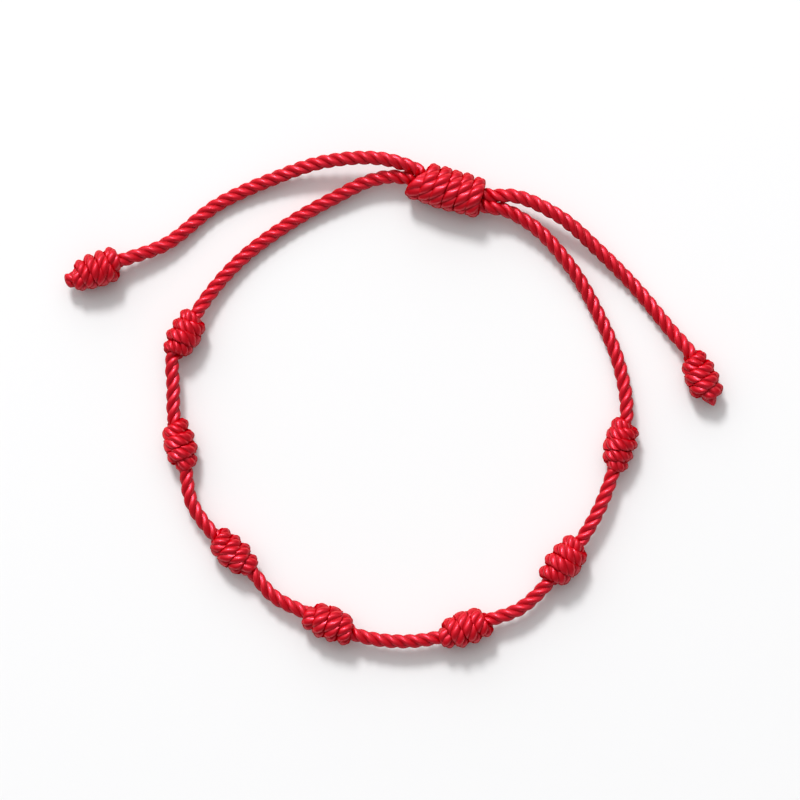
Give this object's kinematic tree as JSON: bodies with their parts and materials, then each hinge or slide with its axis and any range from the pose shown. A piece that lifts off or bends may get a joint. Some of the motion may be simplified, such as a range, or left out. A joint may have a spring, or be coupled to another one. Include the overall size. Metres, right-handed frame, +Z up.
{
  "type": "sliding knot bracelet",
  "caption": "Adjustable bracelet of thick twisted red cord with wrapped knots along the loop, a sliding knot that joins the two runs, and a knotted tail at each side.",
  "frame": {"origin": "on the surface the bracelet lies on, under the middle of its bounding box", "axes": "+X towards the right-hand end knot's side, +Y from the small knots towards the sliding knot, +Z up from the surface"},
  "size_m": [0.0923, 0.0696, 0.0057],
  "materials": {
    "cord": "satin twisted polyester cord"
  },
  "bodies": {
    "root": {"main_cord": "cord", "knot_1": "cord", "knot_2": "cord", "knot_3": "cord", "knot_4": "cord", "knot_5": "cord", "knot_6": "cord", "knot_7": "cord", "sliding_knot": "cord", "left_end_knot": "cord", "right_end_knot": "cord"}
  },
  "joints": []
}
